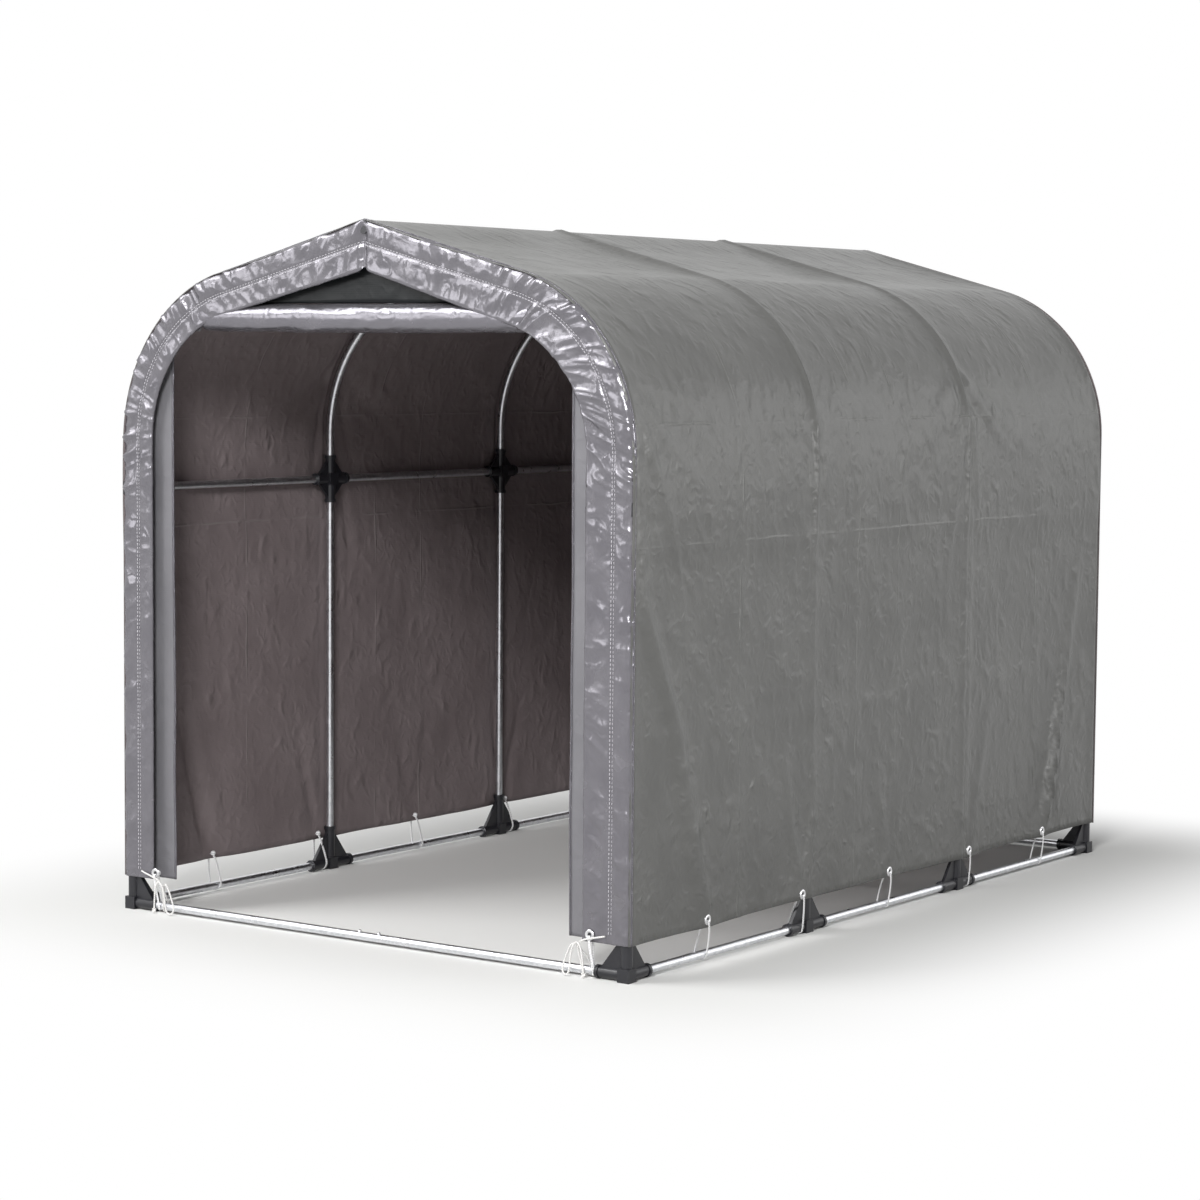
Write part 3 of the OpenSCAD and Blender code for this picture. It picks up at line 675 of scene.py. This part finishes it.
def band_relief(s, w):
    """Rise of the band: a puff outside the seam, the seam's groove, gathers across it and small crumples."""
    t = np.abs(s)
    bend_end = SLOPE_L + BEND_L
    on_bend = step(t, SLOPE_L - 0.15, SLOPE_L + 0.05) * (1 - step(t, bend_end, bend_end + 0.35))
    puff = 3.5 * MM * np.sin(np.pi * np.clip(w / SEAM_W, 0, 1))
    groove = -2.5 * MM * np.exp(-(((w - SEAM_W) / (4 * MM)) ** 2))
    slant = s + (w - SEAM_W) * (0.3 * np.clip(s / 0.15, -1, 1) + 0.6 * noise(s * 5, w * 0, 21))
    inner = np.where(w > SEAM_W, 31.0, 0.0)
    tight = 7 * MM * ridged(slant * 24 + inner, w * 6, 22) + 3.5 * MM * ridged(slant * 52 + inner, w * 14, 23)
    loose = 4 * MM * ridged(slant * 12 + inner, w * 8, 24) + 2.4 * MM * ridged(slant * 29 + inner, w * 20, 25)
    on_slope = 1 - step(t, SLOPE_L - 0.1, SLOPE_L + 0.2)
    crumple = (1 + 1.4 * on_slope) * MM * noise(slant * 42, w * 42, 26)
    held = step(w, 0, 16 * MM) * (1 - 0.8 * np.exp(-(((w - SEAM_W) / (9 * MM)) ** 2)))
    held = held * (0.25 + 0.75 * step(band_length(s) - w, 4 * MM, 26 * MM))
    gathers = held * (on_bend * (1.3 * tight - 8 * MM) + (1 - 0.7 * on_bend) * (loose + crumple - 4 * MM))
    dart = -9 * MM * np.exp(-((s / (9 * MM)) ** 2)) * step(w, 10 * MM, 40 * MM)
    return puff + groove + gathers + dart


def band_points(s, w):
    """Points of the band at distance s along the hoop and w across it."""
    off, back, face_out, face_front = band_section(w, band_width(s))
    rise = band_relief(s, w)
    x, z, _, _ = hoop(s, off + rise * face_out)
    return np.stack([x, FRONT_FACE + back - rise * face_front, z], axis=-1)


# %% Band surface
BAND_ROWS, BAND_COLUMNS = 1200, 38
s, share = np.meshgrid(np.linspace(-FOOT, FOOT, BAND_ROWS), np.linspace(0, 1, BAND_COLUMNS), indexing="ij")
w = share * band_length(s)
band = surface("fascia_sheet", band_points(s, w), np.stack([s, w], axis=-1), flip=True)
fit(band, "door_sheet", fascia_film, "front_fascia")
thick = band.modifiers.new("thickness", "SOLIDIFY")
thick.thickness = 1 * MM
thick.offset = -1

# %% [markdown]
# ## Seam and piping
# Two rows of stitches run along the seam, and a thin welt closes the outer edge. Both are placed by
# asking the band's own function where its surface is, so they follow every gather.

# %% Stitches
STITCH_L, STITCH_PITCH = 6 * MM, 9 * MM
thread, thread_tree, thread_shader = new_material("polyester_thread")
thread_noise = add(thread_tree, "TexNoise", {"Vector": add(thread_tree, "TexCoord").outputs["Object"],
                                             "Scale": 1 / (3 * MM)})
thread_mix = add(thread_tree, "Mix", {0: thread_noise.outputs["Fac"], 6: linear("#a9a7ad"),
                                      7: linear("#d3d1d6")}, data_type="RGBA")
thread_tree.links.new(thread_mix.outputs[2], thread_shader.inputs["Base Color"])
thread_shader.inputs["Roughness"].default_value = 0.5


def stitches(name, starts, rows, place, proud):
    """Rows of short stitches: each is a bar of square section whose ends dip into the surface."""
    along = np.array([0.0, 0.25, 0.75, 1.0]) * STITCH_L
    lift = np.array([-0.3, 1.0, 1.0, -0.3]) * proud
    half = np.array([-0.5, 0.5]) * 1.3 * MM
    parts = []
    for row in rows:
        s, a, v = np.meshgrid(starts, np.arange(4), np.arange(2), indexing="ij")
        base = place(s + along[a], row + half[v])
        ahead = place(s + along[a] + 1 * MM, row + half[v]) - base
        beside = place(s + along[a], row + half[v] + 1 * MM) - base
        parts.append(base + unit(np.cross(beside, ahead)) * lift[a][..., None])
    points = np.concatenate(parts)
    count = len(points)
    index = np.arange(count * 8).reshape(count, 4, 2)
    corners = [index[:, :-1, 0], index[:, 1:, 0], index[:, 1:, 1], index[:, :-1, 1]]
    quads = np.stack(corners, axis=-1).reshape(-1, 4)
    mesh = bpy.data.meshes.new(name)
    mesh.from_pydata(points.reshape(-1, 3), [], quads[:, ::-1].tolist())
    mesh.uv_layers.new(name="cut")
    piece = bpy.data.objects.new(name, mesh)
    bpy.context.scene.collection.objects.link(piece)
    thick = piece.modifiers.new("thread", "SOLIDIFY")
    thick.thickness = 0.8 * MM
    return piece


stitch_starts = np.arange(-FOOT + 0.02, FOOT - 0.02, STITCH_PITCH)
seam = stitches("fascia_stitches", stitch_starts, (SEAM_W - 3 * MM, SEAM_W + 4 * MM), band_points, 1.0 * MM)
fit(seam, "door_sheet", thread)

# %% Welt
welt_s = np.linspace(-FOOT, FOOT, 700)
welt_path = band_points(welt_s, np.full_like(welt_s, 3 * MM))
points, uv = tube_points(welt_path, 1.6 * MM, 8)
welt = surface("fascia_welt", points, uv, (False, True), caps=True, flip=True)
fit(welt, "door_sheet", door_film)

# %% [markdown]
# ## Front panel
# Behind the band hangs a flat sheet with the doorway cut out of it: a gable above and a strip on
# each side. As a surface it is ruled, with straight lines from the edge of the doorway to the hoop,
# and both ends of each line are found by walking along the two edges. It hangs in slow waves.

# %% Panel surface
roll_low, roll_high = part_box("rolled_door")
PANEL_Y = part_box("front_panel")[0].y
PANEL_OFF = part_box("front_panel")[1].x - LEG_X
ROLL_Z, ROLL_R = (roll_low.z + roll_high.z) / 2, (roll_high.z - roll_low.z) / 2
ROLL_HALF = roll_high.x
LEFT_EDGE, RIGHT_EDGE = 600 * MM, 558 * MM
DOOR_TOP = roll_high.z
# The cloth above the door is painted near black: painted shade of the gable under the band and roof.
panel_sheet = woven_sheet("woven_polyethylene_panel", ("#6f6e72", "#78777b"), 0.36, 6 * MM,
                          shine=0.3, gable_shade=(DOOR_TOP - 0.04, "#0f1214"))
# Corners of the doorway from the middle outwards, and how far down the hoop the opposite points lie.
# The sheet hangs a little to the left, so more of the right strip shows beside the band.
door_z = np.array([DOOR_TOP, DOOR_TOP, roll_low.z, roll_low.z, EAVES_Z, HEM_Z])
door_left, door_right = (np.array([0, ROLL_HALF, ROLL_HALF, edge, edge, edge])
                         for edge in (LEFT_EDGE, RIGHT_EDGE))
opposite = np.array([0, SLOPE_L + 0.10, SLOPE_L + 0.16, SLOPE_L + 0.22, SLOPE_L + BEND_L, FOOT])
s, share = np.meshgrid(np.linspace(-FOOT, FOOT, 500), np.linspace(0, 1, 14), indexing="ij")
inner_x = np.where(s < 0, -np.interp(-s, opposite, door_left), np.interp(s, opposite, door_right))
inner_z = np.interp(np.abs(s), opposite, door_z)
outer_x, outer_z, _, _ = hoop(s, PANEL_OFF)
x, z = inner_x + share * (outer_x - inner_x), inner_z + share * (outer_z - inner_z)
y = PANEL_Y + 5 * MM * noise(x * 9, z * 2.2, 31) + 2 * MM * noise(x * 24, z * 6, 32)
panel = surface("front_panel_sheet", np.stack([x, y, z], axis=-1), np.stack([x, z], axis=-1))
fit(panel, "cover_sheet", panel_sheet, "front_panel")
thick = panel.modifiers.new("thickness", "SOLIDIFY")
thick.thickness = SHEET_T
thick.offset = 0

# %% Bound edges of the strips
for side_name, edge in (("left", -LEFT_EDGE), ("right", RIGHT_EDGE)):
    z = np.linspace(HEM_Z, roll_low.z, 160)
    x = np.full_like(z, edge)
    y = PANEL_Y + 5 * MM * noise(x * 9, z * 2.2, 31) + 2 * MM * noise(x * 24, z * 6, 32)
    points, uv = tube_points(np.stack([x, y, z], axis=1), 3 * MM, 10)
    binding = surface(f"{side_name}_strip_binding", points, uv, (False, True), caps=True, flip=True)
    fit(binding, "cover_sheet", door_film)

# %% [markdown]
# ## Rolled door
# The door is rolled up under the gable. Its surface is a cylinder whose radius changes: the free
# edge of the sheet lies along it as a low ledge, soft dents and long creases cross it, and near each
# end it closes over the rings of the roll.

# %% Roll surface
ROLL_RINGS, ROLL_SIDES = 420, 72
ring_turn = np.linspace(0, 2 * np.pi, ROLL_SIDES, endpoint=False)
along, turn = np.meshgrid(np.linspace(-1, 1, ROLL_RINGS), ring_turn, indexing="ij")
end_l = 26 * MM
from_end = ROLL_HALF * (1 - np.abs(along))
closing = np.sqrt(np.clip(1 - (1 - np.clip(from_end / end_l, 0, 1)) ** 2, 0.0025, 1))
rings = 1.5 * MM * np.sin(closing * 22) * (closing < 0.97)
ledge = 2.2 * MM * step(np.mod(turn - 0.6 + 0.15 * noise(along * 5, turn * 0, 41), 2 * np.pi), 0, 0.2)
ring_u, ring_v = np.cos(turn) * 1.3 + 7, np.sin(turn) * 1.3 + 7
dents = 1.5 * MM * noise(along * 5 + ring_u, ring_v, 42)
dents = dents + 0.7 * MM * noise(along * 15 + ring_u * 2, ring_v * 2, 43)
radius = (ROLL_R + ledge - 2 * MM + dents) * closing + 0.3 * rings
sag = -5 * MM * (1 - along**2)
roll_y = (roll_low.y + roll_high.y) / 2
roll_z = ROLL_Z + 3 * MM + sag + radius * np.sin(turn)
points = np.stack([along * ROLL_HALF, roll_y + radius * np.cos(turn), roll_z], axis=-1)
roll_uv = np.stack([along * ROLL_HALF, turn * ROLL_R], axis=-1)
roll = surface("rolled_door_sheet", points, roll_uv, (False, True), caps=True)
fit(roll, "door_sheet", door_film, "rolled_door")

# %% [markdown]
# ## Back panel
# The back is closed by one flat sheet, cut to the outline of the hoop and tied at its hem. Its grid
# runs from the hem up to the outline, and it hangs in the same slow waves as the front.

# %% Back surface
across, up = np.meshgrid(np.linspace(-1, 1, 170), np.linspace(0, 1, 130), indexing="ij")
edge_at = [0, SLOPE_L, SLOPE_L + BEND_L * 0.93, SLOPE_L + BEND_L]
edge_s = np.sign(across) * np.interp(np.abs(across), [0, 0.6, 0.97, 1], edge_at)
top_x, top_z, _, _ = hoop(edge_s, SKIN)
x, z = top_x, HEM_Z + up * (top_z - HEM_Z)
back_free = step((LEG_X - np.abs(x)), 0.0, 0.2) * step(top_z - z, 0.01, 0.2)
back_waves = 7 * MM * noise(x * 5, z * 2.2, 51) + 3 * MM * noise(x * 12, z * 5, 52)
back_waves = back_waves + 1.5 * MM * noise(x * 6, z * 26, 53)
y = BACK_FACE + back_free * back_waves
back = surface("back_panel_sheet", np.stack([x, y, z], axis=-1), np.stack([x, z], axis=-1), flip=True)
fit(back, "cover_sheet", cover_outside, "back_panel")
back.data.materials.append(cover_inside)
thick = back.modifiers.new("thickness", "SOLIDIFY")
thick.thickness = SHEET_T
thick.offset = -1
thick.material_offset = 1

# %% [markdown]
# ## Ties
# Elastic loops hold the hem down to the pipes on the ground. Each is one flat strap: it comes out of
# an eyelet, passes under the pipe and goes back up to a ball behind the sheet. The loop lies in a
# plane across the pipe, so it is drawn once there and turned to face each side.

# %% Strap of a tie
STRAP_W, STRAP_T = 7 * MM, 2 * MM


def tie_path(r):
    """Middle of the strap in (outward, along the pipe, height), round a pipe of radius r."""
    low = r + STRAP_T / 2
    rise = EYELET_Z - RAIL_Z
    out = SKIN + 3.5 * MM
    inside = SKIN - SHEET_T - 8 * MM
    a = np.radians([-10, -50, -90, -130, -170])
    under = np.stack([low * np.cos(a), [6 * MM, 3 * MM, 0, -4 * MM, -7 * MM],
                      np.maximum(low * np.sin(a), STRAP_T / 2 - RAIL_Z)], axis=1)
    down = [(inside, 0, rise - 2 * MM), (SKIN - 2 * MM, 0, rise - 2 * MM), (out, 0, rise - 6 * MM),
            (out - 1 * MM, 3 * MM, rise * 0.6)]
    back_up = [(-low, -8 * MM, 12 * MM), (inside - 8 * MM, -4 * MM, rise * 0.7),
               (inside - 1 * MM, 0, rise - 4 * MM)]
    return smooth(np.vstack([down, under, back_up]), 6)


def strap_points(path):
    """Ovals round a path: half the width along the pipe, half the thickness across the strap."""
    t = unit(np.gradient(path, axis=0))
    n = unit(np.cross(t, (0, 1.0, 0)))
    a = np.linspace(0, 2 * np.pi, 12, endpoint=False)[None, :, None]
    ring = STRAP_W / 2 * np.cos(a) * np.array([0, 1.0, 0]) + STRAP_T / 2 * np.sin(a) * n[:, None]
    uv = np.stack(np.meshgrid(length_along(path), np.arange(12) / 12, indexing="ij"), axis=-1)
    return path[:, None] + ring, uv


# %% Bead and eyelet
def ball(centre, radius):
    """Bead at the top of a tie: a sphere as rings of cosine radius, drawn in a little at its waist."""
    lat, lon = np.meshgrid(np.linspace(-0.49, 0.49, 14) * np.pi,
                           np.linspace(0, 2 * np.pi, 20, endpoint=False), indexing="ij")
    waist = radius * (1 - 0.06 * np.cos(2 * lat) ** 8)
    girth = waist * np.cos(lat)
    points = np.stack([girth * np.cos(lon), girth * np.sin(lon), waist * np.sin(lat)], axis=-1)
    return points + np.asarray(centre), np.stack([lat * radius, lon * radius], axis=-1)


def eyelet(hole, rim, rise):
    """Pressed ring round a hole, facing outwards: a half-round bead from the hole to the rim."""
    a, lon = np.meshgrid(np.linspace(0, np.pi, 9), np.linspace(0, 2 * np.pi, 28, endpoint=False),
                         indexing="ij")
    r = (hole + rim) / 2 - (rim - hole) / 2 * np.cos(a)
    points = np.stack([rise * np.sin(a), r * np.cos(lon), r * np.sin(lon)], axis=-1)
    return points, np.stack([a, lon], axis=-1) * rim


# %% Ties of one side
EYELET_HOLE, EYELET_RIM = 5 * MM, 12 * MM


def facing(points, at, outward):
    """Turns (outward, along, up) points so that outward is a level direction, and moves them to a place."""
    out = np.array([outward[0], outward[1], 0.0])
    along = np.array([-outward[1], outward[0], 0.0])
    up = np.array([0, 0, 1.0])
    return np.asarray(at) + points[..., :1] * out + points[..., 1:2] * along + points[..., 2:] * up


def tie_group(name, places, node_name):
    """All the ties of one side: a strap, a ball and an eyelet for each place (x, y, outward, radius)."""
    strands, rings, painted_hole_shades = [], [], []
    for at_x, at_y, outward, r in places:
        foot = (at_x, at_y, RAIL_Z)
        points, uv = strap_points(tie_path(r))
        strands.append(surface("strap", facing(points, foot, outward), uv, (False, True), caps=True,
                               flip=True))
        points, uv = ball((SKIN - SHEET_T - 8 * MM, 0, EYELET_Z - RAIL_Z), 6.5 * MM)
        strands.append(surface("ball", facing(points, foot, outward), uv, (False, True), caps=True))
        centre = np.array((SKIN + 0.2 * MM, 0, EYELET_Z - RAIL_Z))
        points, uv = eyelet(EYELET_HOLE, EYELET_RIM, 2.2 * MM)
        rings.append(surface("ring", facing(points + centre, foot, outward), uv, (False, True)))
        # A thin black disc over each hole: painted shade in the hole round the strap.
        points, uv = eyelet(0.2 * MM, EYELET_HOLE + 0.5 * MM, 0.3 * MM)
        painted_hole_shades.append(surface("hole", facing(points + centre, foot, outward), uv, (False, True)))
    fit(join(f"{name}_loops", strands), "elastic_tie", elastic, node_name)
    fit(join(f"{name}_eyelets", rings), "galvanised_pipe", nickel)
    fit(join(f"{name}_eyelet_shades", painted_hole_shades), "black_resin", resin)


# %% All ties
SOCKET_R = 12.8 * MM
side_places = [(-END_TIE_Y, PIPE_R), (-TEE_TIE_Y, SOCKET_R), (0.0, PIPE_R), (TEE_TIE_Y, SOCKET_R),
               (END_TIE_Y, PIPE_R)]
for side_name, side in (("left", -1), ("right", 1)):
    places = [(side * LEG_X, at, (side, 0), r) for at, r in side_places]
    tie_group(f"{side_name}_tie", places, f"{side_name}_ties")
front_tie_x = LEG_X - 86 * MM
tie_group("front_tie", [(side * front_tie_x, FRONT_Y, (0, -1), PIPE_R) for side in (-1, 1)], "front_ties")
back_places = [(at, BACK_Y, (0, 1), PIPE_R) for at in (-LEG_X * 2 / 3, 0, LEG_X * 2 / 3)]
tie_group("back_tie", back_places, "back_ties")

# %% [markdown]
# ## Snap buttons
# The front sill is two lengths of pipe on a spigot. A sprung button through each length keeps them
# from sliding apart, and its round head stands out on top of the pipe near the middle.

# %% Sill buttons
buttons = []
for at_x in (-18 * MM, 38 * MM):
    points, uv = ball((at_x, FRONT_Y, RAIL_Z + PIPE_R), 4.5 * MM)
    buttons.append(surface("button", points, uv, (False, True), caps=True))
fit(join("sill_snap_buttons", buttons), "galvanised_pipe", nickel)

# %% [markdown]
# ## Floor and light
# The shelter stands on a plain pale floor that fades to white with distance, so that no horizon
# shows. A wide soft light hangs overhead, as an overcast sky does, and two stand in front. On the right
# a large dim one lies where the wall mirrors it and a small one where the folds do, because a smooth
# sheet shows its crinkles only by what they mirror. A pale world fills the shade. The white behind the
# object is what the camera sees, and what metal and glass mirror or let through; it lights nothing else.


# %% Floor
def background_rays(tree):
    """1 for rays that find a white background: the camera's, and those off metal or through glass."""
    ray = add(tree, "LightPath").outputs
    seen = ray["Is Camera Ray"]
    for kind in ("Is Glossy Ray", "Is Transmission Ray"):
        seen = add(tree, "Math", {0: seen, 1: ray[kind]}, operation="MAXIMUM").outputs[0]
    return seen


floor_material, floor_tree, floor_shader = new_material("pale_floor")
floor_shader.inputs["Base Color"].default_value = linear("#ececea")
floor_shader.inputs["Roughness"].default_value = 0.9
place = add(floor_tree, "TexCoord").outputs["Object"]
reach = add(floor_tree, "VectorMath", {0: place}, operation="ABSOLUTE")
part_edge = (cad_high.x, cad_high.y, 0)
past = add(floor_tree, "VectorMath", {0: reach.outputs[0], 1: part_edge}, operation="SUBTRACT")
beyond = add(floor_tree, "VectorMath", {0: past.outputs[0], 1: (0, 0, 0)}, operation="MAXIMUM")
far = add(floor_tree, "VectorMath", {0: beyond.outputs[0]}, operation="LENGTH")
fade = add(floor_tree, "MapRange", {0: far.outputs["Value"], 1: 0.0, 2: 0.8}, interpolation_type="SMOOTHSTEP")
share = add(floor_tree, "Math", {0: fade.outputs[0], 1: background_rays(floor_tree)}, operation="MULTIPLY")
white = add(floor_tree, "Emission", {"Color": (1, 1, 1, 1), "Strength": 1.0})
mixed = add(floor_tree, "MixShader", {0: share.outputs[0], 1: floor_shader.outputs[0], 2: white.outputs[0]})
floor_tree.links.new(mixed.outputs[0], floor_tree.nodes["Material Output"].inputs["Surface"])
edge = np.linspace(-30, 30, 13)
floor_x, floor_y = np.meshgrid(edge, edge, indexing="ij")
floor_points = np.stack([floor_x, floor_y, 0 * floor_x], axis=-1)
floor = surface("floor", floor_points, floor_points[..., :2])
floor.data.materials.append(floor_material)

# %% Lights
# Place, target, width in metres and power in watts
LIGHTS = {
    "overhead": ((-2.8, -3.6, 4.8), (0.0, -0.6, 1.2), 2.7, 185),
    "front_left": ((-3.8, -6.2, 2.6), (0.0, -0.6, 0.8), 2.4, 65),
    "front_right": ((3.0, -7.0, 4.4), (-0.4, -0.4, 0.6), 1.8, 470),
    "back_right": ((5.0, 6.2, 2.6), (0.7, 0.2, 0.8), 3.4, 45),
    "right": ((7.3, 2.6, 1.6), (0.7, 0.2, 0.7), 0.8, 80),
}
for name, (at, target, size, watts) in LIGHTS.items():
    lamp = bpy.data.lights.new(name, "AREA")
    lamp.shape, lamp.size, lamp.energy = "SQUARE", size, watts
    light = bpy.data.objects.new(name, lamp)
    bpy.context.scene.collection.objects.link(light)
    aim = (Vector(target) - Vector(at)).to_track_quat("-Z", "Y")
    light.matrix_world = Matrix.Translation(at) @ aim.to_matrix().to_4x4()
print("lights:", list(LIGHTS))

# %% World
FILL = 0.16
world = bpy.data.worlds.new("pale_studio")
bpy.context.scene.world = world
world.use_nodes = True
sky = world.node_tree
strength = add(sky, "Mix", {0: background_rays(sky), 2: FILL, 3: 1.0})
sky.links.new(strength.outputs[0], sky.nodes["Background"].inputs["Strength"])
sky.nodes["Background"].inputs["Color"].default_value = (1, 1, 1, 1)
bpy.context.scene.view_settings.view_transform = "Standard"
print("world:", world.name, "with fill", FILL)
